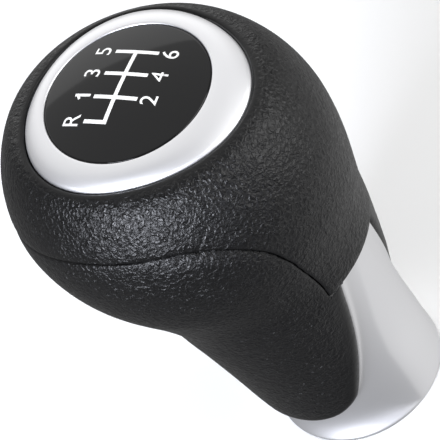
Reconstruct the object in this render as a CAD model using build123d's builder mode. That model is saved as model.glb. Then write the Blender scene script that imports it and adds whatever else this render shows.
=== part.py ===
import os
from math import cos, pi, radians, sin, sqrt, tan

from build123d import *

# Gear shift knob: a leather-covered ball head on a plated neck, with an oval trim ring and a
# black dial on top and a threaded lever socket below.
# Millimetres. The origin is the centre of the neck's foot, +Z runs up the lever, +Y points to
# the front of the car and +X to its right, so the driver sits towards -Y.

# Outer form of the leather
head_width = 57.0
head_length = 61.7
head_height = 63.9
head_forward = 11.2
head_rise = 29.1
head_drop = 30.1
head_pull = 22.0
dial_tilt = radians(5.0)
top_rise = 18.8
leather = 1.8

# Plated neck
foot_radius = 17.2
waist_radius = 16.1
neck_flare = 8.6
neck_lean = radians(6.1)
sleeve_wall = 2.0
sleeve_top = 47.0
rim_round = 0.6

# Seam between the two leather covers, and the lower cover's edge on the plated neck
seam_rise = 8.5
seam_dip = 6.0
flap_bend = 15.5
flap_depth = 4.7
hem_height = 42.4
tongue_foot = 7.5
tongue_sweep = 15.0
seam_gap = 0.4

# Trim ring and dial
dial_radius = 15.0
dial_forward = 1.0
dial_thick = 2.2
dial_dome = 1.5
ring_radius = 20.0
ring_back = 0.85
ring_drop = 1.9
ring_sink = 1.5
ring_gap = 0.6
ring_clear = 0.2
ring_floor = 1.2
skirt_radius = 13.6
skirt_wall = 1.6
skirt_depth = 4.0

# Core, lever socket and screws
glue = 0.05
foot_recess = 2.5
insert_radius = 8.0
insert_length = 34.0
thread_radius = 5.4
thread_depth = 30.0
boss_wall = 2.0
rib_count = 6
rib_thick = 1.6
pocket_depth = 24.0
groove_depth = 0.8
groove_width = 2.0
pin_spread = 8.0
pin_radius = 1.0
screw_count = 3
screw_circle = 8.5
screw_radius = 1.5
screw_head = 2.8
screw_head_high = 1.9
screw_length = 14.0
recess_span = 2.6
recess_width = 0.7

os.makedirs("parts", exist_ok=True)

side_reach = 2 * (head_length + head_width)
spill = 1.0
dial_height = top_rise + ring_drop

# Planes: the head leans back to the driver, so its top plane and the dial plane are tilted.
head_axis = (0, -sin(dial_tilt), cos(dial_tilt))
head_plane = Plane(origin=(0, head_forward, head_height), x_dir=(1, 0, 0), z_dir=head_axis)
dial_plane = Plane(
    origin=head_plane.from_local_coords((0, dial_forward, dial_height)),
    x_dir=(1, 0, 0),
    z_dir=head_axis,
)


def level(height, forward, tilt):
    """Plane across the lever whose first axis runs fore and aft."""
    return Plane(
        origin=(0, forward, height),
        x_dir=(0, cos(tilt), sin(tilt)),
        z_dir=(0, -sin(tilt), cos(tilt)),
    )


def knob_form(inset):
    """Whole knob as one solid, set in evenly and carried a little past the foot and the top."""
    with BuildPart() as form:
        for share in (0.0, 0.06, 0.13, 0.22, 0.31, 0.40, 0.49, 0.57, 0.64):
            height = share * head_height if share else -spill
            bare = waist_radius + neck_flare * share**1.5 if share else foot_radius
            with BuildSketch(level(height, height * tan(neck_lean), share * dial_tilt)):
                Ellipse(bare + leather - inset, bare + leather - inset)
        for share in (-0.76, -0.58, -0.38, -0.18, 0.0, 0.25, 0.5, 0.75, 0.9, 1.0):
            rise = share * top_rise + (spill if share == 1 else 0)
            reach = (head_rise if share > 0 else head_drop) - inset
            taper = sqrt(1 - (rise / reach) ** 2)
            drift = rise * sin(dial_tilt) if share > 0 else head_pull * abs(rise / reach) ** 3
            place = level(head_height + rise * cos(dial_tilt), head_forward - drift, dial_tilt)
            with BuildSketch(place):
                Ellipse((head_length / 2 - inset) * taper, (head_width / 2 - inset) * taper)
        loft()
    return form.part


def ring_outline(radius, plane, egg=1.0):
    """Face of the trim ring: a circle drawn out to a narrow end towards the driver."""
    points = []
    for step in range(16):
        turn = 2 * pi * step / 16
        reach = radius * (1 + egg * (0.016 * cos(2 * turn) + 0.030 * cos(3 * turn)))
        points.append((reach * sin(turn), -egg * ring_back - reach * cos(turn)))
    with BuildSketch(plane) as face:
        with BuildLine():
            Spline(*points, periodic=True)
        make_face()
    return face.sketch


def hood_region(grow):
    """All that lies above and behind the seam: the top of the head and the flap down its back."""
    flap = head_forward - head_length / 2 + flap_depth + grow
    seam = head_height + seam_rise - grow
    far = side_reach
    with BuildPart() as region:
        with BuildSketch(Plane.YZ):
            with BuildLine():
                bend = Spline(
                    (head_forward + 0.55 * head_length, seam - seam_dip),
                    (head_forward + 0.275 * head_length, seam - seam_dip / 3),
                    (head_forward + 0.05 * head_length, seam),
                    (head_forward - 0.13 * head_length, seam),
                    (flap + 0.165 * head_length, seam - 0.06 * flap_bend),
                    (flap + 0.083 * head_length, seam - 0.24 * flap_bend),
                    (flap + 0.024 * head_length, seam - 0.555 * flap_bend),
                    (flap, seam - flap_bend),
                    tangents=((-3, 1), (0, -1)),
                )
                Polyline(
                    bend @ 1,
                    (flap, hem_height - grow),
                    (-far, hem_height - grow),
                    (-far, far),
                    (far, far),
                    (far, seam - seam_dip),
                    bend @ 0,
                )
            make_face()
        extrude(amount=side_reach, both=True)
    return region.part


def tongue_region():
    """All that lies in front of and above the lower cover's free edge."""
    flap = head_forward - head_length / 2 + flap_depth
    drop = hem_height - tongue_foot
    far = side_reach
    with BuildPart() as region:
        with BuildSketch(Plane.YZ):
            with BuildLine():
                edge = Spline(
                    (flap, hem_height),
                    (flap + 0.09 * tongue_sweep, hem_height - 0.31 * drop),
                    (flap + 0.25 * tongue_sweep, hem_height - 0.65 * drop),
                    (flap + 0.36 * tongue_sweep, hem_height - 0.79 * drop),
                    (flap + 0.58 * tongue_sweep, hem_height - 0.94 * drop),
                    (flap + tongue_sweep, tongue_foot),
                    tangents=((0.1, -1), (1, 0)),
                )
                Polyline(
                    edge @ 1,
                    (far, tongue_foot),
                    (far, far),
                    (-far, far),
                    (-far, hem_height),
                    edge @ 0,
                )
            make_face()
        extrude(amount=side_reach, both=True)
    return region.part


def above(plane):
    """Large block on the upper side of a plane."""
    with BuildPart() as block:
        with Locations(plane):
            Box(side_reach, side_reach, side_reach, align=(Align.CENTER, Align.CENTER, Align.MIN))
    return block.part


outer_form = knob_form(0)
under_leather = knob_form(leather)
sleeve_form = knob_form(leather + glue)
sleeve_bore = knob_form(leather + glue + sleeve_wall)
core_neck_form = knob_form(leather + 2 * glue + sleeve_wall)

over_top = above(head_plane.offset(top_rise))
over_sleeve = above(Plane.XY.offset(sleeve_top))
hood = hood_region(0)
hood_clear = hood_region(seam_gap)
tongue = tongue_region()

with BuildPart() as ring_hole:
    add(ring_outline(ring_radius + ring_gap, dial_plane.offset(-ring_drop - 3 * ring_sink)))
    extrude(amount=side_reach)

# Upper leather cover: the hood over the head, open at the top for the trim ring.
with BuildPart() as head_cover:
    add(outer_form)
    add(under_leather, mode=Mode.SUBTRACT)
    add(hood, mode=Mode.INTERSECT)
    add(ring_hole.part, mode=Mode.SUBTRACT)
    add(over_top, mode=Mode.SUBTRACT)
head_cover.part.label = "head_cover"

# Lower leather cover: wraps the front and both sides of the neck and the head's underside.
with BuildPart() as grip_cover:
    add(outer_form)
    add(under_leather, mode=Mode.SUBTRACT)
    add(tongue, mode=Mode.INTERSECT)
    add(hood_clear, mode=Mode.SUBTRACT)
grip_cover.part.label = "grip_cover"

# Plated neck sleeve: a tapered tube, bare at the back and at the foot.
with BuildPart() as neck_sleeve:
    add(sleeve_form)
    add(above(Plane.XY), mode=Mode.INTERSECT)
    foot_face = neck_sleeve.faces().sort_by(Axis.Z)[0]
    chamfer(foot_face.edges(), length=rim_round)
    add(over_sleeve, mode=Mode.SUBTRACT)
    add(sleeve_bore, mode=Mode.SUBTRACT)
neck_sleeve.part.label = "neck_sleeve"

# Body core: moulded neck and lower head, with a ribbed foot around the lever socket.
with BuildPart() as core_bulk:
    add(core_neck_form)
    add(above(Plane.XY.offset(sleeve_top + spill)), mode=Mode.SUBTRACT)
    with BuildPart(mode=Mode.PRIVATE) as core_head:
        add(sleeve_form)
        add(above(Plane.XY.offset(sleeve_top + glue)), mode=Mode.INTERSECT)
        add(over_top, mode=Mode.SUBTRACT)
    add(core_head.part)

screw_floor = -ring_drop - ring_sink - skirt_depth - screw_head_high - glue

with BuildPart() as body_core:
    add(core_bulk.part)
    add(hood_clear, mode=Mode.SUBTRACT)
    with BuildSketch(Plane.XY.offset(foot_recess)):
        Circle(2 * foot_radius)
    extrude(amount=-2 * foot_recess - spill, mode=Mode.SUBTRACT)
    with BuildSketch(Plane.XY.offset(foot_recess)):
        Circle(waist_radius - sleeve_wall - boss_wall)
        Circle(insert_radius + boss_wall, mode=Mode.SUBTRACT)
        with PolarLocations(0, rib_count):
            Rectangle(2 * foot_radius, rib_thick, align=(Align.MIN, Align.CENTER), mode=Mode.SUBTRACT)
    extrude(amount=pocket_depth, mode=Mode.SUBTRACT)
    with BuildSketch(Plane.XY):
        Circle(insert_radius)
    extrude(amount=insert_length, mode=Mode.SUBTRACT)
    with BuildSketch(dial_plane.offset(screw_floor)):
        with Locations((0, -dial_forward)):
            with PolarLocations(screw_circle, screw_count, start_angle=90):
                Circle(screw_radius)
    extrude(amount=-screw_length - spill, mode=Mode.SUBTRACT)
body_core.part.label = "body_core"

# Cap core: the moulding under the upper cover, with a pocket for the trim ring.
with BuildPart() as cap_core:
    add(core_bulk.part)
    add(hood, mode=Mode.INTERSECT)
    add(ring_outline(ring_radius + ring_clear, dial_plane.offset(-ring_drop - ring_sink - glue)))
    extrude(amount=side_reach, mode=Mode.SUBTRACT)
    with BuildSketch(dial_plane.offset(screw_floor)):
        with Locations((0, -dial_forward)):
            Circle(skirt_radius + glue)
    extrude(amount=side_reach, mode=Mode.SUBTRACT)
    with BuildSketch(dial_plane.offset(screw_floor)):
        with Locations((0, -dial_forward)):
            with PolarLocations(screw_circle, screw_count, start_angle=90):
                Circle(screw_radius + glue)
    extrude(amount=-screw_length, mode=Mode.SUBTRACT)
cap_core.part.label = "cap_core"

# Screws that pull the cap core down onto the body core.
with BuildPart() as cap_screws:
    with BuildSketch(dial_plane.offset(screw_floor)):
        with Locations((0, -dial_forward)):
            with PolarLocations(screw_circle, screw_count, start_angle=90):
                Circle(screw_head)
    extrude(amount=screw_head_high)
    with BuildSketch(dial_plane.offset(screw_floor)):
        with Locations((0, -dial_forward)):
            with PolarLocations(screw_circle, screw_count, start_angle=90):
                Circle(screw_radius)
    extrude(amount=-screw_length)
    with BuildSketch(dial_plane.offset(screw_floor + screw_head_high)):
        with Locations((0, -dial_forward)):
            with PolarLocations(screw_circle, screw_count, start_angle=90):
                Rectangle(recess_width, recess_span)
                Rectangle(recess_span, recess_width)
    extrude(amount=-0.6 * screw_head_high, mode=Mode.SUBTRACT)
cap_screws.part.label = "cap_screws"

# Trim ring: a low egg-shaped dome with a round seat for the dial and a plug-in skirt.
ring_base = dial_plane.offset(-ring_drop)
skirt_plane = Plane(
    origin=dial_plane.from_local_coords((0, -dial_forward, 0.5 * ring_floor - ring_drop - ring_sink)),
    x_dir=(1, 0, 0),
    z_dir=head_axis,
)
with BuildPart() as trim_ring:
    add(ring_outline(ring_radius, ring_base))
    add(ring_outline(0.5 * (ring_radius + dial_radius) + 0.6, dial_plane.offset(-0.35 * ring_drop), 0.5))
    add(ring_outline(dial_radius + 0.5, dial_plane, 0))
    loft()
    add(ring_outline(ring_radius, ring_base))
    extrude(amount=-ring_sink)
    with BuildSketch(skirt_plane):
        Circle(skirt_radius)
        Circle(skirt_radius - skirt_wall, mode=Mode.SUBTRACT)
    extrude(amount=-skirt_depth - 0.5 * ring_floor)
    with BuildSketch(dial_plane.offset(-dial_thick)):
        Circle(dial_radius + glue)
    extrude(amount=2 * dial_thick, mode=Mode.SUBTRACT)
    with BuildSketch(dial_plane.offset(-dial_thick)):
        with Locations((-pin_spread, 0), (pin_spread, 0)):
            Circle(pin_radius + glue)
    extrude(amount=-2 * ring_floor, mode=Mode.SUBTRACT)
trim_ring.part.label = "trim_ring"

# Dial: a black lens with a shallow dome and two locating pins.
dome_radius = (dial_radius**2 + dial_dome**2) / (2 * dial_dome)
with BuildPart() as dial_lens:
    with BuildSketch(dial_plane.offset(glue - dial_thick)):
        Circle(dial_radius)
    extrude(amount=dial_thick + dial_dome)
    with Locations(dial_plane.offset(dial_dome - dome_radius)):
        Sphere(dome_radius, mode=Mode.INTERSECT)
    with BuildSketch(dial_plane.offset(glue - dial_thick)):
        with Locations((-pin_spread, 0), (pin_spread, 0)):
            Circle(pin_radius)
    extrude(amount=-ring_floor - 0.5)
dial_lens.part.label = "dial_lens"

# Lever insert: a threaded bush, grooved outside so that the moulding holds it.
with BuildPart() as lever_insert:
    with BuildSketch(Plane.XY):
        Circle(insert_radius)
        Circle(thread_radius, mode=Mode.SUBTRACT)
    extrude(amount=thread_depth)
    with BuildSketch(Plane.XY.offset(thread_depth)):
        Circle(insert_radius)
    extrude(amount=insert_length - thread_depth)
    for share in (0.25, 0.5, 0.75):
        with BuildSketch(Plane.XY.offset(share * insert_length)):
            Circle(insert_radius)
            Circle(insert_radius - groove_depth, mode=Mode.SUBTRACT)
        extrude(amount=groove_width, mode=Mode.SUBTRACT)
lever_insert.part.label = "lever_insert"

pieces = (
    head_cover,
    grip_cover,
    neck_sleeve,
    body_core,
    cap_core,
    cap_screws,
    trim_ring,
    dial_lens,
    lever_insert,
)
for piece in pieces:
    export_step(piece.part, f"parts/{piece.part.label}.step")
    print(piece.part.label, round(piece.part.volume), len(piece.part.solids()))
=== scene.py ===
# %% [markdown]
# # A leather gear shift knob
# The CAD model gives the knob its sizes and its place: a leather-covered ball head on a plated
# neck, a silver trim ring and a black dial. This lesson dresses it. Each cell makes one piece or
# one finish, and the cell before it says what the real thing is and why it is made this way.

# %% Load the frame
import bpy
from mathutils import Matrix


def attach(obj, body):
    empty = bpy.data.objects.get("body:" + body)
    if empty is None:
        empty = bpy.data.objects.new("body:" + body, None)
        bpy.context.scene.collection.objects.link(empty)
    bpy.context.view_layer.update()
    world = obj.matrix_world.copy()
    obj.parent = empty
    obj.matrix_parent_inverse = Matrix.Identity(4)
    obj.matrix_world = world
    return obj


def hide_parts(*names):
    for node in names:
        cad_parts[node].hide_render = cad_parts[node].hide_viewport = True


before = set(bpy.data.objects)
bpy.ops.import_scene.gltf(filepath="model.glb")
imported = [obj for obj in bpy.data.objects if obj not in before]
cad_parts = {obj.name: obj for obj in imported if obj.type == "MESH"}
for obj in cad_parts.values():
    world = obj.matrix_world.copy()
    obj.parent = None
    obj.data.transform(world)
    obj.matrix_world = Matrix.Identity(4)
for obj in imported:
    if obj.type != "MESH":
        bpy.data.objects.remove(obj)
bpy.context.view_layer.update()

from math import cos, pi, radians, sin, sqrt, tan

import bmesh
import bpy
import numpy as np
from mathutils import Matrix, Vector

mm = 0.001

# %% [markdown]
# ## The form under the leather
# The real knob is a moulded core with leather pulled over it, so every cover follows one smooth
# form. A stack of circles could be bridged, but the covers need to know where each point lies on
# the form and which way is out. So the form is kept as a few level sections, a round neck and an
# oval head, with a smooth curve through them, and a grid is later wrapped round it like a hide
# round a last. The sizes are the ones that the CAD model uses.

# %% Sizes of the form, in millimetres
head_width, head_length, head_height, head_forward = 57.0, 61.7, 63.9, 11.2
head_rise, head_drop, head_pull, top_rise = 29.1, 30.1, 22.0, 18.8
dial_tilt, neck_lean = radians(5.0), radians(6.1)
foot_radius, waist_radius, neck_flare, below_foot = 17.2, 16.1, 8.6, -1.0
leather, glue = 1.8, 0.05
neck_steps = (0.0, 0.06, 0.13, 0.22, 0.31, 0.40, 0.49, 0.57, 0.64)
head_steps = (-0.76, -0.58, -0.38, -0.18, 0.0, 0.25, 0.5, 0.75, 0.9)


def sections(inset, top):
    """Level sections from foot to top: centre y and z, tilt, half length and half width."""
    rows = []
    for share in neck_steps:
        height = share * head_height if share else below_foot
        radius = waist_radius + neck_flare * share**1.5 if share else foot_radius
        reach = radius + leather - inset
        rows.append((height * tan(neck_lean), height, share * dial_tilt, reach, reach))
    for rise in [share * top_rise for share in head_steps] + [top]:
        reach = (head_rise if rise > 0 else head_drop) - inset
        taper = sqrt(1 - (rise / reach) ** 2)
        drift = rise * sin(dial_tilt) if rise > 0 else head_pull * abs(rise / reach) ** 3
        rows.append((
            head_forward - drift,
            head_height + rise * cos(dial_tilt),
            dial_tilt,
            (head_length / 2 - inset) * taper,
            (head_width / 2 - inset) * taper,
        ))
    return np.array(rows)


print("sections of the form:", len(sections(0.0, top_rise)))


# %% A smooth curve through the sections
def smooth(knots, values, at):
    """Natural cubic curve through values at knots, read at other places."""
    step, last = np.diff(knots)[:, None], len(knots) - 1
    system, pull = np.eye(last + 1), np.zeros_like(values)
    for i in range(1, last):
        system[i, i - 1:i + 2] = step[i - 1, 0], 2 * (step[i - 1, 0] + step[i, 0]), step[i, 0]
        before = (values[i] - values[i - 1]) / step[i - 1]
        after = (values[i + 1] - values[i]) / step[i]
        pull[i] = 6 * (after - before)
    bend = np.linalg.solve(system, pull)
    i = np.clip(np.searchsorted(knots, at) - 1, 0, last - 1)
    span, past = step[i], (at - knots[i])[:, None]
    left = span - past
    curve = (bend[i] * left**3 + bend[i + 1] * past**3) / (6 * span)
    curve += (values[i] / span - bend[i] * span / 6) * left
    return curve + (values[i + 1] / span - bend[i + 1] * span / 6) * past


def even_steps(values, path, count):
    """Smooth curve through values, read at even steps along a path through them."""
    knots = np.concatenate(([0.0], np.cumsum(np.linalg.norm(np.diff(path, axis=0), axis=1))))
    return smooth(knots, values, np.linspace(0, knots[-1], count))


def skin(table, turns, rows):
    """Points of the form, a row for each level and a column for each turn from the front."""
    row = even_steps(table, np.column_stack((table[:, 1], table[:, 3:].mean(1))), rows)
    turn = np.linspace(0, 2 * pi, turns, endpoint=False)
    fore, side = np.outer(row[:, 3], np.cos(turn)), np.outer(row[:, 4], np.sin(turn))
    tilt = row[:, 2, None]
    forward = row[:, 0, None] + fore * np.cos(tilt)
    upward = row[:, 1, None] + fore * np.sin(tilt)
    return np.stack((side, forward, upward), -1)


def slopes(points):
    """Steps along the grid's turns and rows, and the way out of the form."""
    along = (np.roll(points, -1, 1) - np.roll(points, 1, 1)) / 2
    up = np.gradient(points, axis=0)
    out = np.cross(up, along)
    return along, up, out / np.linalg.norm(out, axis=-1, keepdims=True)


hide_inset, hide_top, hide_turns, hide_rows = 0.03, 21.9, 360, 220
hide = skin(sections(hide_inset, hide_top), hide_turns, hide_rows)
print("form in mm:", hide.reshape(-1, 3).min(0).round(1), hide.reshape(-1, 3).max(0).round(1))

# %% [markdown]
# ## Where the leather is cut
# Two covers meet at a seam that runs almost level round the head and turns down behind it, so the
# upper one is a hood with a flap at the back. The lower one wraps the neck and leaves the plating
# bare behind. Seen from the side both edges are plain lines, so they are drawn in side view, and
# each point of the form gets its distance from them. Cutting the mesh with a knife would leave
# raw edges; with the distance known, the leather can be rolled over its edge as it is on a bench.

# %% Edge lines in side view
seam_rise, seam_dip, flap_depth, flap_bend, hem_height = 8.5, 6.0, 4.7, 15.5, 42.4
tongue_foot, tongue_sweep = 7.5, 15.0
seam, flap = head_height + seam_rise, head_forward - head_length / 2 + flap_depth
tongue_drop = hem_height - tongue_foot
# Shares of the head's length and of the dip, then of the length and of the bend behind the head.
level_shares = ((0.55, 1), (0.275, 1 / 3), (0.05, 0), (-0.13, 0))
bend_shares = ((0.165, 0.06), (0.083, 0.24), (0.024, 0.555), (0, 1))
seam_marks = np.array(
    [(head_forward + along * head_length, seam - dip * seam_dip) for along, dip in level_shares]
    + [(flap + along * head_length, seam - fall * flap_bend) for along, fall in bend_shares])
# Shares of the tongue's sweep and drop.
tongue_shares = ((0, 0), (0.09, 0.31), (0.25, 0.65), (0.36, 0.79), (0.58, 0.94), (1, 1))
tongue_marks = np.array([
    (flap + across * tongue_sweep, hem_height - fall * tongue_drop)
    for across, fall in tongue_shares])
# Both lines run on past the knob or under the hood, so that no end of a line shows.
seam_line = even_steps(seam_marks, seam_marks, 90)
hood_line = np.vstack((seam_line, [(flap, hem_height), (flap - 60, hem_height)]))
tongue_curve = even_steps(tongue_marks, tongue_marks, 60)
tongue_line = np.vstack(([(flap - 2, hem_height + 20)], tongue_curve, [(90, tongue_foot)]))
print("seam at", round(seam, 1), "mm, flap at", round(flap, 1), "mm")


# %% Distances from the edge lines
def line_distance(points, line):
    """Side-view distance of each point from a line of straight steps."""
    spots = points[..., 1:].reshape(-1, 2)
    best = np.full(len(spots), np.inf)
    for start, end in zip(line[:-1], line[1:]):
        step = end - start
        share = np.clip((spots - start) @ step / (step @ step), 0, 1)
        best = np.minimum(best, np.linalg.norm(spots - start - share[:, None] * step, axis=1))
    return best.reshape(points.shape[:-1])


def from_hood(points):
    """Distance into the hood's outline, negative outside it."""
    y, z = points[..., 1], points[..., 2]
    level = np.interp(y, seam_line[::-1, 0], seam_line[::-1, 1])
    inside = np.where(y > flap, z > level, z > hem_height)
    return np.where(inside, 1, -1) * line_distance(points, hood_line)


def from_tongue(points):
    """Distance into the lower cover's outline, negative on the bare plating."""
    y, z = points[..., 1], points[..., 2]
    edge = np.interp(z, tongue_line[::-1, 1], tongue_line[::-1, 0])
    inside = (y > edge) & (z > tongue_foot)
    return np.where(inside, 1, -1) * line_distance(points, tongue_line)


print("share of the form under the hood:", round(float((from_hood(hide) > 0).mean()), 2))

# %% [markdown]
# ## Rolling an edge
# Leather on such a knob is thinned at the edge and turned under, so no cut shows, only a soft
# round fold that catches the light. A bevel can't round the free border of a sheet, so each point
# near an edge is carried over a quarter round and then straight down. The grid is wrapped first
# and shaped after, as a sculptor moves points.

# %% Helpers that roll an edge
least_slope = 0.2  # an edge distance that changes more slowly than this throws points too far


def ramp(value, low, high):
    """Soft step from 0 at low to 1 at high."""
    share = np.clip((value - low) / (high - low), 0, 1)
    return share * share * (3 - 2 * share)


def roll_edge(points, field, radius, thin=0.0, over=1.0):
    """Shift of each point over a quarter round where the field runs out, how near the edge each
    one is and how deep it sinks. The hide may be thinned towards the edge, over a few mm."""
    along, up = slopes(points)[:2]
    field_along = (np.roll(field, -1, 1) - np.roll(field, 1, 1)) / 2
    field_up = np.gradient(field, axis=0)
    aa, au, uu = (along**2).sum(-1), (along * up).sum(-1), (up**2).sum(-1)
    size = aa * uu - au**2
    inward = ((uu * field_along - au * field_up) / size)[..., None] * along
    inward += ((aa * field_up - au * field_along) / size)[..., None] * up
    steep = np.maximum(np.linalg.norm(inward, axis=-1), least_slope)
    near = field / steep
    past = np.maximum(radius - near, 0)
    angle = np.minimum(past / radius, pi / 2)
    sink = radius * (1 - np.cos(angle)) + np.maximum(past - radius * pi / 2, 0)
    sink += thin * np.clip(1 - near / over, 0, 1) ** 2
    shift = past - radius * np.sin(angle)
    return inward / steep[..., None] * shift[..., None], near, sink


def roll_both(points, first, second, depths):
    """Rolls each point over the edge that takes it deeper; says which points stay in the piece."""
    shift_a, near_a, sink_a = roll_edge(points, *first)
    shift_b, near_b, sink_b = roll_edge(points, *second)
    shift = np.where((sink_a > sink_b)[..., None], shift_a, shift_b)
    sink = np.maximum(np.minimum(sink_a, depths[0]), np.minimum(sink_b, depths[1]))
    moved = points + shift - slopes(points)[2] * sink[..., None]
    return moved, (sink_a < depths[0]) & (sink_b < depths[1]), near_a, near_b


print("an edge is rolled where its distance grows by more than", least_slope, "mm in a mm")

# %% [markdown]
# ## Wrapping a grid
# A cover is one sheet that goes once round the form and meets itself. A flat grid has just that
# layout, so Blender makes the grid, its points are carried to their places and the meeting edges
# are merged. A wall is added after by Solidify, inwards, so that the outside stays true. Each point
# also keeps a number that says how much of the leather's grain is left there.

# %% Helpers that wrap a grid
weld = 0.004


def wrap(name, points, keep, grain=None):
    """Grid wrapped round the form: points in mm, keep says which belong to the piece, and grain
    how much of the hide's grain each one keeps."""
    rows, turns = points.shape[:2]
    bm = bmesh.new()
    bmesh.ops.create_grid(bm, x_segments=turns, y_segments=rows - 1, size=1.0)
    layer = bm.verts.layers.float.new("grain")
    for vert in bm.verts:
        turn = round((vert.co.x + 1) * turns / 2) % turns
        row = round((vert.co.y + 1) * (rows - 1) / 2)
        vert.co = Vector(points[row, turn]) * mm
        vert[layer] = 1.0 if grain is None else grain[row, turn]
        vert.tag = bool(keep[row, turn])
    spare = [face for face in bm.faces if not any(vert.tag for vert in face.verts)]
    bmesh.ops.delete(bm, geom=spare, context="FACES")
    bmesh.ops.remove_doubles(bm, verts=bm.verts, dist=weld * mm)
    bmesh.ops.reverse_faces(bm, faces=bm.faces)
    return finish_mesh(name, bm)


def give_wall(piece, thickness):
    """Wall of a thickness in mm, laid inwards."""
    wall = piece.modifiers.new("wall", "SOLIDIFY")
    wall.thickness, wall.offset = thickness * mm, -1.0


def finish_mesh(name, bm):
    """Object of a bmesh, smooth shaded and riding on the knob."""
    for face in bm.faces:
        face.smooth = True
    mesh = bpy.data.meshes.new(name)
    bm.to_mesh(mesh)
    bm.free()
    piece = bpy.data.objects.new(name, mesh)
    bpy.context.scene.collection.objects.link(piece)
    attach(piece, "root")
    print(name, len(mesh.polygons), "faces")
    return piece


# %% [markdown]
# ## The dial's place
# Dial and trim ring sit on a plane that leans back to the driver. They could be turned into place
# one by one, but working on that plane's own axes keeps their shapes simple: x across, y forward,
# z out of the dial. One matrix then puts them on the head.

# %% Dial plane
dial_radius, dial_forward, dial_dome, dial_thick = 15.0, 1.0, 1.5, 2.2
ring_radius, ring_back, ring_drop, ring_clear = 20.0, 0.85, 1.9, 0.2
egg_length, egg_point = 0.016, 0.030
head_axis = Vector((0, -sin(dial_tilt), cos(dial_tilt)))
ahead = Vector((0, cos(dial_tilt), sin(dial_tilt)))
head_centre = Vector((0, head_forward, head_height))
dial_centre = head_centre + dial_forward * ahead + (top_rise + ring_drop) * head_axis
dial_place = Matrix.Scale(mm, 4) @ Matrix.Translation(dial_centre) @ Matrix((
    (1, ahead.x, head_axis.x, 0),
    (0, ahead.y, head_axis.y, 0),
    (0, ahead.z, head_axis.z, 0),
    (0, 0, 0, 1),
))


def egg_reach(turn, radius, egg=1.0):
    """Trim ring's outline: a circle drawn to a narrow end towards the driver, turned from there."""
    return radius * (1 + egg * (egg_length * np.cos(2 * turn) + egg_point * np.cos(3 * turn)))


def from_ring(points):
    """Distance of each point outside the trim ring's opening in the leather."""
    local = points - np.array(dial_centre)
    forward = local @ np.array(ahead) + ring_back
    turn = np.arctan2(local[..., 0], -forward)
    return np.hypot(local[..., 0], forward) - egg_reach(turn, ring_radius + ring_clear)


print("dial centre in mm:", [round(value, 2) for value in dial_centre])

# %% [markdown]
# ## Upper cover
# The hood goes over the shoulder of the head and tucks under the trim ring. Its top is pressed
# flat round the ring, so the form's height is eased towards a plane with a soft shoulder instead
# of being cut. Then the outer edge is rolled along the seam and the inner one at the ring. The
# roll is tight at the seam, where two edges butt, and rounder at the hem, which lies free.

# %% Head cover
shoulder, crown_lift = 0.8, 0.3
seam_roll, hem_roll, ring_roll, hood_thin, hood_thin_over = 0.22, 0.9, 0.7, 0.15, 2.0
tuck, leather_wall = 1.7, 0.5
crown = hide.copy()
rise = (crown - np.array(head_centre)) @ np.array(head_axis)
eased = -shoulder * np.logaddexp(-rise / shoulder, -(top_rise + crown_lift) / shoulder)
crown += (eased - rise)[..., None] * np.array(head_axis)
on_hem = ramp(hem_height + 6 - crown[..., 2], 0, 3) * ramp(flap - crown[..., 1], 0.3, 7.0)
hood_edge = (from_hood(crown), seam_roll + hem_roll * on_hem, hood_thin, hood_thin_over)
ring_edge = (from_ring(crown), ring_roll)
hood_points, hood_keep, from_seam, from_bezel = roll_both(
    crown, hood_edge, ring_edge, (tuck, tuck))
hood_grain = ramp(from_bezel, 0.5, 1.8) * ramp(from_seam, 0.0, 0.3 + 0.9 * on_hem)
head_skin = wrap("head_leather", hood_points, hood_keep, hood_grain)
give_wall(head_skin, leather_wall)
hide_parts("head_cover")

# %% [markdown]
# ## Lower cover
# The same hide, cut along the seam and along its free edge on the plating. Behind, towards the
# driver, its top edge falls away under the hood, so a soft ridge runs along the seam and catches
# the light. Its free edge is thinned and turned under in a smooth fold that lies on the plating, so
# that edge is measured on the plating and not on the outside of the hide. The fold is thick on the
# near side, and on the far side it is thin and lies a little further round.

# %% The lower cover's free edge
foot_lift, near_spread, far_draw, side_blend = 1.6, 0.3, 1.8, 8.0


def from_fold_line(points):
    """Distance into the lower cover, measured on the plating: its foot edge lies a little higher
    than the tongue's line, and its far edge a little further round."""
    height, left = points[..., 2], ramp(-points[..., 0], -side_blend, side_blend)
    above_foot, below_hem = ramp(height, 8, 14), 1 - ramp(height, 14, 46)
    sideways = near_spread * left - far_draw * (1 - left)
    return from_tongue(points) - foot_lift * (1 - above_foot) + sideways * above_foot * below_hem


on_plating = from_fold_line(hide - slopes(hide)[2] * leather)
print("share of the form in the lower cover's outline:", round(float((on_plating > 0).mean()), 2))

# %% Grip cover
seam_gap, grip_roll, grip_thin, ridge_fall, ridge_over = 0.02, 0.25, 0.15, 0.95, 3.5
fold_round, fold_near, fold_thin, fold_far_thin, fold_over, fold_tuck = 1.2, 1.0, 0.3, 1.0, 9.0, 3.2
behind = ramp(5 - hide[..., 1], 0, 13) * ramp(hide[..., 2], 55, 66)
high, left = ramp(hide[..., 2], 9, 20), ramp(-hide[..., 0], -side_blend, side_blend)
seam_edge = (-from_hood(hide) - seam_gap, grip_roll, grip_thin + ridge_fall * behind, ridge_over)
fold = fold_round + fold_near * left * high
thinned = fold_thin + fold_far_thin * (1 - left) * high
grip_points, grip_keep, from_seam, from_fold = roll_both(
    hide, seam_edge, (on_plating, fold, thinned, fold_over), (tuck, fold_tuck))
grip_grain = ramp(from_fold, 1.5, 2.5 + 4.0 * high) * ramp(from_seam, -0.2, 0.3)
grip_skin = wrap("grip_leather", grip_points, grip_keep, grip_grain)
give_wall(grip_skin, leather_wall)
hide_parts("grip_cover")

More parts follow.
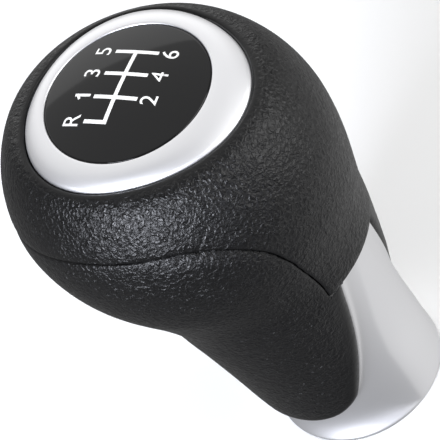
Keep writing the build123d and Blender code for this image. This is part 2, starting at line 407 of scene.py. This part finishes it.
# %% [markdown]
# ## Plated sleeve
# The bare metal at the back is not a plain cone. A raised blade runs down the middle, wider at the
# foot, and a facet on each side of it falls away to the leather, deeper on the near side. At the
# foot a band flares out again below a slanting crease, and a thin lip stands along the leather.
# Cuts with other solids would give these hard edges, but on the moulding they are soft under the
# plating. So they are gentle moves of the points, a millimetre deep at most.

# %% Facets of the sleeve
tube_top, tube_turns, tube_rows, rim_round = 20.4, 312, 288, 0.6
tube = skin(sections(leather + glue, tube_top), tube_turns, tube_rows)
height, fore = tube[..., 2], tube[..., 1] - tube[..., 2] * tan(neck_lean)
side = np.where(fore < 0, np.abs(tube[..., 0]), np.hypot(tube[..., 0], fore))
left = ramp(-tube[..., 0], -8, 0)
blade_heights = (1.2, 7.3, 16.5, 25.1, 32.7, 37.8, 46.0)
blade_halves = (5.9, 5.7, 5.8, 4.9, 3.4, 2.5, 1.5)
crease_sides, crease_heights = (5.0, 7.0, 8.9, 11.3, 13.5, 17.0), (1.0, 1.6, 3.5, 6.6, 9.0, 10.5)
facet_slope, crease_soft, far_share = 0.2, 0.03, 0.3
band_bend, band_swell, least_band = 1.2, 0.3, 1.4
blade = np.interp(height, blade_heights, blade_halves)
band = np.maximum(np.interp(side, crease_sides, crease_heights), least_band)
climb = np.clip((height - rim_round) / (band - rim_round), 0, 1)
flare = 1 - (1 - climb) ** band_bend + band_swell * np.sin(pi * climb)
facet = crease_soft * np.logaddexp(0, facet_slope * (side - blade) / crease_soft)
scoop = (far_share + (1 - far_share) * left) * flare * np.tanh(facet)
print("facets up to", round(float(scoop.max()), 2), "mm deep")

# %% Neck sleeve
# The waist is filled a little behind and on the far side, where the outline runs straight.
waist_heights = np.array((0, 2, 4, 8.3, 14, 20, 27))
waist_fill = np.array((0, 0.65, 0.95, 0.8, 0.4, 0.1, 0.0))[:, None]
lip_off, lip_half, lip_rise = 0.2, 0.24, 0.28
sleeve_top, sleeve_wall, floor_clear = 47.0, 1.2, 0.12
low = np.clip(height, 0, waist_heights[-1])
straight = smooth(waist_heights, waist_fill, low.ravel()).reshape(height.shape)
scoop -= straight * ramp(-fore, 0, 8) * (1 - ramp(-tube[..., 0], 3.0, 17.0))
lip = -from_fold_line(tube) - lip_off
scoop -= lip_rise * np.exp(-((lip / lip_half) ** 2)) * ramp(height, 6, 10)
tube -= slopes(tube)[2] * scoop[..., None]
rim_shift, rim_near, rim_sink = roll_edge(tube, tube[..., 2].copy(), rim_round)
tube += rim_shift - slopes(tube)[2] * np.minimum(rim_sink, rim_round)[..., None]
tube[..., 2] = np.maximum(tube[..., 2], floor_clear)
sleeve = wrap("plated_sleeve", tube, (tube[..., 2] < sleeve_top) & (rim_near > 0.0))
give_wall(sleeve, sleeve_wall)
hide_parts("neck_sleeve")

# %% [markdown]
# ## Trim ring
# A moulded and plated ring, egg-shaped outside and round inside. A scaled torus would be egg-shaped
# or round all through, so the ring is a stack of closed loops, bridged one to the next: the loops
# change from egg to circle as they climb to the dial, and close pairs of loops keep the rims crisp
# under smooth shading.

# %% Trim ring loops
# Each loop is its radius, its share of the egg shape, its height and its shift forward. They go up
# the outside, over the face, down to the dial's seat, and round the spigot below it.
face_width, face_top, face_fall = 4.65, 0.1, 1.85
ring_loops = [(20.0, 1.0, -3.4, 0), (20.0, 1.0, -2.3, 0), (19.97, 1.0, -2.05, 0)]
ring_loops += [(19.88, 1.0, -1.85, 0)]
for share in (0.05, 0.12, 0.2, 0.3, 0.4, 0.52, 0.64, 0.76, 0.88, 0.96):
    face_height = face_top - face_fall * (1 - share) ** 2.2
    ring_loops.append((ring_radius - face_width * share, (1 - share) ** 1.25, face_height, 0))
ring_loops += [(15.3, 0, 0.08, 0), (15.14, 0, 0.0, 0), (15.06, 0, -0.15, 0), (15.05, 0, -0.4, 0)]
ring_loops += [(15.05, 0, -2.15, 0), (15.0, 0, -2.2, 0)]
spigot = ((12.05, -2.2), (12.0, -2.3), (12.0, -7.3), (13.6, -7.3), (13.6, -3.4))
ring_loops += [(radius, 0, level, -dial_forward) for radius, level in spigot]


def bridge_stack(loops, segments):
    """Closed loops, each bridged to the next and the last to the first."""
    bm = bmesh.new()
    rims = []
    for radius, egg, level, shift in loops:
        made = bmesh.ops.create_circle(bm, segments=segments, radius=1.0)["verts"]
        for vert in made:
            turn = np.arctan2(vert.co.x, -vert.co.y)
            reach = egg_reach(turn, radius, egg)
            vert.co = (reach * sin(turn), shift - egg * ring_back - reach * cos(turn), level)
        rims.append(list({edge for vert in made for edge in vert.link_edges}))
    for low, high in zip(rims, rims[1:] + rims[:1]):
        bmesh.ops.bridge_loops(bm, edges=low + high)
    bmesh.ops.recalc_face_normals(bm, faces=bm.faces)
    return bm


bm = bridge_stack(ring_loops, 144)
bmesh.ops.transform(bm, matrix=dial_place, verts=bm.verts)
ring = finish_mesh("dial_trim_ring", bm)
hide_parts("trim_ring")

# %% [markdown]
# ## Dial
# A gloss black lens with a shallow dome. A flattened sphere would need its rim cut off, so the half
# section is drawn once and spun round the dial's axis, which is how a lathe would make the mould.

# %% Dial lens
dome_sink, dome_edge, dial_foot = 0.06, 0.4, 0.1 - dial_thick
dome_radius = (dial_radius**2 + dial_dome**2) / (2 * dial_dome)


def dome(reach):
    """Height of the dial's dome at a distance from its centre."""
    return dial_dome - dome_sink - dome_radius + sqrt(dome_radius**2 - reach**2)


bm = bmesh.new()
section = [(reach, dome(reach)) for reach in np.linspace(0, dial_radius - dome_edge, 16)]
section += [(14.78, -0.02), (14.9, -0.12), (14.96, -0.3), (14.97, -0.6)]
section += [(14.97, dial_foot), (0, dial_foot)]
spots = [bm.verts.new((reach, 0, level)) for reach, level in section]
edges = [bm.edges.new(pair) for pair in zip(spots[:-1], spots[1:])]
bmesh.ops.spin(bm, geom=spots + edges, cent=(0, 0, 0), axis=(0, 0, 1), angle=2 * pi, steps=128,
               use_merge=True)
bmesh.ops.remove_doubles(bm, verts=bm.verts, dist=0.001)
bmesh.ops.recalc_face_normals(bm, faces=bm.faces)
bmesh.ops.transform(bm, matrix=dial_place, verts=bm.verts)
dial = finish_mesh("dial_dome", bm)
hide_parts("dial_lens")

# %% [markdown]
# ## Shift gate
# White ink on the dome: three slots and a reverse slot on one cross line, with the gear numbers
# at their ends. A picture on the dome would blur when seen close, so each bar is a fine grid and
# each number a text made into mesh. All of them are laid on the dome a hair above the black,
# because ink has next to no thickness.

# %% Gate bars
gate_pitch, gate_ahead, gate_back, gate_line = 5.07, 4.05, 4.35, 0.75
ink = bmesh.new()


def gate_bar(x0, y0, x1, y1):
    """Bar of ink between two corners on the dial plane."""
    steps = max(1, round(2 * (x1 - x0))), max(1, round(2 * (y1 - y0)))
    made = bmesh.ops.create_grid(ink, x_segments=steps[0], y_segments=steps[1], size=0.5)["verts"]
    bmesh.ops.scale(ink, vec=(x1 - x0, y1 - y0, 1), verts=made)
    bmesh.ops.translate(ink, vec=((x0 + x1) / 2, (y0 + y1) / 2, 0), verts=made)
    return made


half = gate_line / 2
reverse = -1.5 * gate_pitch
gate_bar(reverse - half, -half, 1.5 * gate_pitch + half, half)
for column in (-0.5, 0.5, 1.5):
    slot = column * gate_pitch
    gate_bar(slot - half, half, slot + half, gate_ahead)
    gate_bar(slot - half, -gate_back, slot + half, -half)
gate_bar(reverse - half, half, reverse + half, gate_ahead)
print("gate bars:", len(ink.faces), "faces")

# %% Gear numbers
# The figure 1 is two bars, a stem and a slanting flag. The others are text.
sign_size, sign_gap, ink_lift = 4.4, 2.3, 0.03
gate_shift = Vector((0.2, 0.85, 0))
stem = Vector((-0.5 * gate_pitch, gate_ahead + sign_gap, 0))
gate_bar(stem.x - 0.05, stem.y - 1.55, stem.x + 0.5, stem.y + 1.55)
flag = gate_bar(stem.x - 0.95, stem.y + 0.85, stem.x + 0.35, stem.y + 1.3)
slant = Matrix.Rotation(radians(35), 3, "Z")
bmesh.ops.rotate(ink, cent=stem + Vector((0.25, 1.3, 0)), matrix=slant, verts=flag)
for sign, column, end in (("R", -1.5, 1), ("3", 0.5, 1), ("5", 1.5, 1),
                          ("2", -0.5, -1), ("4", 0.5, -1), ("6", 1.5, -1)):
    letters = bpy.data.curves.new("gear_" + sign, "FONT")
    letters.body, letters.size = sign, sign_size
    letters.align_x, letters.align_y = "CENTER", "CENTER"
    holder = bpy.data.objects.new("gear_" + sign, letters)
    bpy.context.scene.collection.objects.link(holder)
    shown = holder.evaluated_get(bpy.context.evaluated_depsgraph_get())
    flat = bpy.data.meshes.new_from_object(shown)
    bpy.data.objects.remove(holder)
    start = len(ink.verts)
    ink.from_mesh(flat)
    ink.verts.ensure_lookup_table()
    reach = gate_ahead + sign_gap if end > 0 else -gate_back - sign_gap
    bmesh.ops.translate(ink, vec=(column * gate_pitch, reach, 0), verts=ink.verts[start:])
for vert in ink.verts:
    vert.co += gate_shift
    vert.co.z = dome(vert.co.xy.length) + ink_lift
bmesh.ops.transform(ink, matrix=dial_place, verts=ink.verts)
gate = finish_mesh("gate_print", ink)

# %% [markdown]
# ## Finishes
# Two small helpers serve every finish: one turns a colour as a painter names it, in sRGB hex, to
# the linear values that the renderer works with, and one adds a node with its settings and links.
# The nodes could be joined by hand in the editor, but written out they can be read and changed.


# %% Colour and node helpers
def paint(code):
    """Linear colour of an sRGB hex value."""
    parts = [int(code[i:i + 2], 16) / 255 for i in (1, 3, 5)]
    return [
        part / 12.92 if part <= 0.04045 else ((part + 0.055) / 1.055) ** 2.4 for part in parts
    ] + [1.0]


def node(finish, kind, inputs, **settings):
    """Adds a node: settings are its own choices, inputs its values or the sockets that feed it."""
    tree = finish.node_tree
    made = tree.nodes.new(kind)
    for name, value in settings.items():
        setattr(made, name, value)
    for name, value in inputs.items():
        if isinstance(value, bpy.types.NodeSocket):
            tree.links.new(value, made.inputs[name])
        else:
            made.inputs[name].default_value = value
    return made


def new_finish(name, **values):
    """Material with its main shader's sockets set, and that shader."""
    finish = bpy.data.materials.new(name)
    finish.use_nodes = True
    shader = finish.node_tree.nodes["Principled BSDF"]
    for socket, value in values.items():
        shader.inputs[socket.replace("_", " ")].default_value = value
    print("finish", name)
    return finish, shader


# %% [markdown]
# ### Black leather
# Pigmented cowhide, embossed with a fine worm-like grain and lightly waxed. The ridges lie about
# three quarters of a millimetre apart. They are rubbed shiny and the valleys stay dull and black,
# so the hide sparkles under a softbox and goes dark away from it. Over the turned edges it is
# stretched and pressed, and the grain fades there. A scanned picture of leather would show its
# seam on such a round form; noise in the object's own space has none.

# %% Leather finish
ridge_pitch, fold_pitch, fold_weight, emboss = 0.75, 3.5, 1.2, 0.17
hide_finish, shader = new_finish(
    "black_grained_leather", Base_Color=paint("#050506"), IOR=1.5, Specular_IOR_Level=0.33)
place = node(hide_finish, "ShaderNodeTexCoord", {}).outputs["Object"]
worms = node(hide_finish, "ShaderNodeTexNoise", {
    "Vector": place, "Scale": 1 / (ridge_pitch * mm), "Detail": 2.0, "Roughness": 0.5,
    "Distortion": 0.6})
ridge = node(hide_finish, "ShaderNodeMapRange", {
    "Value": worms.outputs["Fac"], "From Min": 0.3, "From Max": 0.7})
folds = node(hide_finish, "ShaderNodeTexNoise", {
    "Vector": place, "Scale": 1 / (fold_pitch * mm), "Detail": 1.0})
grain = node(hide_finish, "ShaderNodeMath", {
    0: folds.outputs["Fac"], 1: fold_weight, 2: ridge.outputs["Result"]}, operation="MULTIPLY_ADD")
kept = node(hide_finish, "ShaderNodeAttribute", {}, attribute_name="grain")
press = node(hide_finish, "ShaderNodeMapRange", {"Value": kept.outputs["Fac"], "To Min": 0.1})
bump = node(hide_finish, "ShaderNodeBump", {
    "Height": grain.outputs[0], "Strength": press.outputs["Result"], "Distance": emboss * mm})
dull = node(hide_finish, "ShaderNodeMapRange", {
    "Value": ridge.outputs["Result"], "To Min": 0.44, "To Max": 0.26})
hide_finish.node_tree.links.new(bump.outputs["Normal"], shader.inputs["Normal"])
hide_finish.node_tree.links.new(dull.outputs["Result"], shader.inputs["Roughness"])

# %% [markdown]
# ### Satin plating
# Satin chrome on moulded plastic. It is a metal to the eye, but blasted before plating, so it
# blurs what it mirrors into soft white and grey. A plain roughness would look like grey paint, so
# it gets a faint cloud. The real grit is too fine to show, so it is drawn a quarter of a
# millimetre coarse.

# %% Plating finish
grit = 0.25
plating, shader = new_finish(
    "satin_chrome_plating", Base_Color=paint("#e6e6e8"), Metallic=1.0)
place = node(plating, "ShaderNodeTexCoord", {}).outputs["Object"]
cloud = node(plating, "ShaderNodeTexNoise", {
    "Vector": place, "Scale": 1 / (grit * mm), "Detail": 2.0})
satin = node(plating, "ShaderNodeMapRange", {
    "Value": cloud.outputs["Fac"], "To Min": 0.42, "To Max": 0.5})
blast = node(plating, "ShaderNodeBump", {
    "Height": cloud.outputs["Fac"], "Strength": 0.08, "Distance": 0.02 * mm})
plating.node_tree.links.new(satin.outputs["Result"], shader.inputs["Roughness"])
plating.node_tree.links.new(blast.outputs["Normal"], shader.inputs["Normal"])

# %% [markdown]
# ### Dial black and ink
# Polished black plastic with a hard clear lens mirrors the room in a dark glass. The ink is matt
# white, a little uneven as silk-screened ink is. Both get their unevenness from a noise in the
# roughness, because neither has a relief that shows.

# %% Dial finishes
polish_wave, ink_film = 6.0, 0.4
lens, shader = new_finish(
    "polished_black_acrylic", Base_Color=paint("#060607"), Roughness=0.06, IOR=1.49,
    Specular_IOR_Level=0.35)
place = node(lens, "ShaderNodeTexCoord", {}).outputs["Object"]
wave = node(lens, "ShaderNodeTexNoise", {
    "Vector": place, "Scale": 1 / (polish_wave * mm), "Detail": 1.0})
polish = node(lens, "ShaderNodeMapRange", {
    "Value": wave.outputs["Fac"], "To Min": 0.04, "To Max": 0.09})
lens.node_tree.links.new(polish.outputs["Result"], shader.inputs["Roughness"])
print_ink, shader = new_finish(
    "white_screen_ink", Base_Color=paint("#f4f4f2"), Roughness=0.45, IOR=1.5)
place = node(print_ink, "ShaderNodeTexCoord", {}).outputs["Object"]
film = node(print_ink, "ShaderNodeTexNoise", {
    "Vector": place, "Scale": 1 / (ink_film * mm), "Detail": 2.0})
rough = node(print_ink, "ShaderNodeMapRange", {
    "Value": film.outputs["Fac"], "To Min": 0.4, "To Max": 0.55})
print_ink.node_tree.links.new(rough.outputs["Result"], shader.inputs["Roughness"])

# %% [markdown]
# ### Inside the knob
# Moulded ABS with a fine spark-eroded skin, a brass bush with turning marks round its axis, and
# zinc-plated steel screws. They show from below and when the knob is taken apart. Their CAD shapes
# are right as they are, so they only get a finish.

# %% Core, brass and steel finishes
spark_pit, turning_pitch, spangle_size = 0.3, 3.0, 0.6
moulding, shader = new_finish(
    "moulded_black_abs", Base_Color=paint("#232426"), Roughness=0.55, IOR=1.53)
place = node(moulding, "ShaderNodeTexCoord", {}).outputs["Object"]
spark = node(moulding, "ShaderNodeTexNoise", {
    "Vector": place, "Scale": 1 / (spark_pit * mm), "Detail": 3.0})
pits = node(moulding, "ShaderNodeBump", {
    "Height": spark.outputs["Fac"], "Strength": 0.4, "Distance": 0.03 * mm})
moulding.node_tree.links.new(pits.outputs["Normal"], shader.inputs["Normal"])
brass, shader = new_finish(
    "turned_brass", Base_Color=paint("#c9a860"), Metallic=1.0, Roughness=0.3)
place = node(brass, "ShaderNodeTexCoord", {}).outputs["Object"]
marks = node(brass, "ShaderNodeTexWave", {
    "Vector": place, "Scale": 1 / (turning_pitch * mm), "Distortion": 0.6, "Detail": 2.0},
    wave_type="BANDS", bands_direction="Z")
cut = node(brass, "ShaderNodeBump", {
    "Height": marks.outputs["Fac"], "Strength": 0.3, "Distance": 0.03 * mm})
brass.node_tree.links.new(cut.outputs["Normal"], shader.inputs["Normal"])
steel, shader = new_finish(
    "zinc_plated_steel", Base_Color=paint("#b4b8bd"), Metallic=1.0, Roughness=0.35)
place = node(steel, "ShaderNodeTexCoord", {}).outputs["Object"]
spangle = node(steel, "ShaderNodeTexNoise", {
    "Vector": place, "Scale": 1 / (spangle_size * mm), "Detail": 2.0})
zinc = node(steel, "ShaderNodeMapRange", {
    "Value": spangle.outputs["Fac"], "To Min": 0.28, "To Max": 0.45})
steel.node_tree.links.new(zinc.outputs["Result"], shader.inputs["Roughness"])

# %% [markdown]
# ## Dressing
# Each piece on the real knob has one finish, so each object gets one material slot. One list of
# pairs says which, and is easier to check than a line at the end of every piece.

# %% Dress the pieces
dressing = [(head_skin, hide_finish), (grip_skin, hide_finish), (sleeve, plating)]
dressing += [(ring, plating), (dial, lens), (gate, print_ink)]
inner = {"body_core": moulding, "cap_core": moulding, "lever_insert": brass, "cap_screws": steel}
dressing += [(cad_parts[name], finish) for name, finish in inner.items()]
for piece, finish in dressing:
    piece.data.materials.clear()
    piece.data.materials.append(finish)
    print(piece.name, "is", finish.name)

# %% [markdown]
# ## Camera
# The camera stands behind the driver's left side and looks down on the dial, turned so that the
# neck points to the lower right. It could be aimed by eye, but its place and turn were worked out
# from the dial's ellipse: the vectors say which way is right, down and into the picture.

# %% Camera
sensor, focal_pixels, picture_pixels = 36.0, 2000, 440
lens_view = bpy.data.cameras.new("studio_camera")
lens_view.sensor_width, lens_view.lens = sensor, focal_pixels / picture_pixels * sensor
lens_view.clip_start = 0.01
camera = bpy.data.objects.new("studio_camera", lens_view)
bpy.context.scene.collection.objects.link(camera)
right = Vector((0.32809, -0.85613, -0.39924))
down = Vector((-0.80871, -0.03615, -0.58709))
into = Vector((0.4882, 0.51549, -0.70422))
stand = -(27.06 * right + 28.59 * down + 389.32 * into) * mm
turn = Matrix((right, -down, -into)).transposed().to_4x4()
camera.matrix_world = Matrix.Translation(stand) @ turn
bpy.context.scene.camera = camera
print("camera at", [round(value / mm, 1) for value in stand], "mm")

# %% [markdown]
# ## Floor
# A plain white paper board, a hair below the foot so that the two don't flicker. It catches the
# knob's shadow, but it is kept out of mirror reflections: a white board right up to the foot would
# make the plating flat and the leather grey.

# %% Floor
floor_half, floor_drop, paper_fibre = 3.0, 0.2, 2.0
bm = bmesh.new()
bmesh.ops.create_grid(bm, x_segments=1, y_segments=1, size=floor_half)
bmesh.ops.translate(bm, vec=(0, 0, -floor_drop * mm), verts=bm.verts)
sheet = bpy.data.meshes.new("studio_floor")
bm.to_mesh(sheet)
bm.free()
floor = bpy.data.objects.new("studio_floor", sheet)
bpy.context.scene.collection.objects.link(floor)
floor.visible_glossy = False
board, shader = new_finish("white_paper_board", Base_Color=paint("#f0f0f0"), Roughness=0.9)
place = node(board, "ShaderNodeTexCoord", {}).outputs["Object"]
fibre = node(board, "ShaderNodeTexNoise", {"Vector": place, "Scale": 1 / (paper_fibre * mm)})
tooth = node(board, "ShaderNodeBump", {
    "Height": fibre.outputs["Fac"], "Strength": 0.05, "Distance": 0.05 * mm})
board.node_tree.links.new(tooth.outputs["Normal"], shader.inputs["Normal"])
sheet.materials.append(board)

# %% [markdown]
# ## Light
# Large soft lamps give the broad highlights of a studio shot: a small bright key on the near side,
# wide dim boxes over and behind the knob, and a low fill for the neck. Each is given by its
# direction and the brightness of its cloth, which is what the plating mirrors. The room itself is
# brighter on one side, so that the plating has something to show there. A picture of a room would
# do it too, but a soft gradient needs no file.

# %% Lamps
knob_middle = Vector((0, 0.01, 0.06))


def softbox(name, towards, distance, width, height, brightness, tint="#ffffff"):
    """Lamp seen from the knob in a direction, facing it; distance and sizes are in metres."""
    lamp = bpy.data.lights.new(name, "AREA")
    lamp.shape, lamp.size, lamp.size_y = "RECTANGLE", width, height
    lamp.energy, lamp.color = brightness * pi * width * height, paint(tint)[:3]
    holder = bpy.data.objects.new(name, lamp)
    bpy.context.scene.collection.objects.link(holder)
    spot = knob_middle + Vector(towards).normalized() * distance
    holder.location = spot
    holder.rotation_euler = (knob_middle - spot).to_track_quat("-Z", "Y").to_euler()
    print(name, round(lamp.energy, 2), "W")


softbox("overhead_box", (0.55, 0.42, 0.72), 1.0, 2.0, 2.0, 0.64)
softbox("key_box", (-0.89, -0.01, 0.31), 0.6, 0.3, 0.27, 28.0, "#f0f4ff")
softbox("rear_box", (0.25, -0.87, 0.42), 0.7, 0.6, 0.7, 3.6)
softbox("front_box", (0.75, 0.5, 0.3), 0.7, 0.7, 0.5, 0.6)
softbox("fill_box", (-0.66, -0.73, 0.12), 0.7, 0.35, 0.2, 2.6, "#eef1ff")

# %% Room
dim_room, bright_room = 0.28, 0.78
world = bpy.data.worlds.new("studio_room")
bpy.context.scene.world = world
world.use_nodes = True
bright_side = Vector((0.56, -0.61, -0.56)).normalized()
look = node(world, "ShaderNodeTexCoord", {}).outputs["Generated"]
facing = node(world, "ShaderNodeVectorMath", {0: look, 1: bright_side}, operation="DOT_PRODUCT")
room = node(world, "ShaderNodeMapRange", {
    "Value": facing.outputs["Value"], "From Min": 0.45, "From Max": 0.95, "To Min": dim_room,
    "To Max": bright_room}, interpolation_type="SMOOTHSTEP")
backdrop = world.node_tree.nodes["Background"]
world.node_tree.links.new(room.outputs["Result"], backdrop.inputs["Strength"])
backdrop.inputs["Color"].default_value = paint("#ffffff")
bpy.context.scene.view_settings.view_transform = "Standard"
print("room from", dim_room, "to", bright_room)
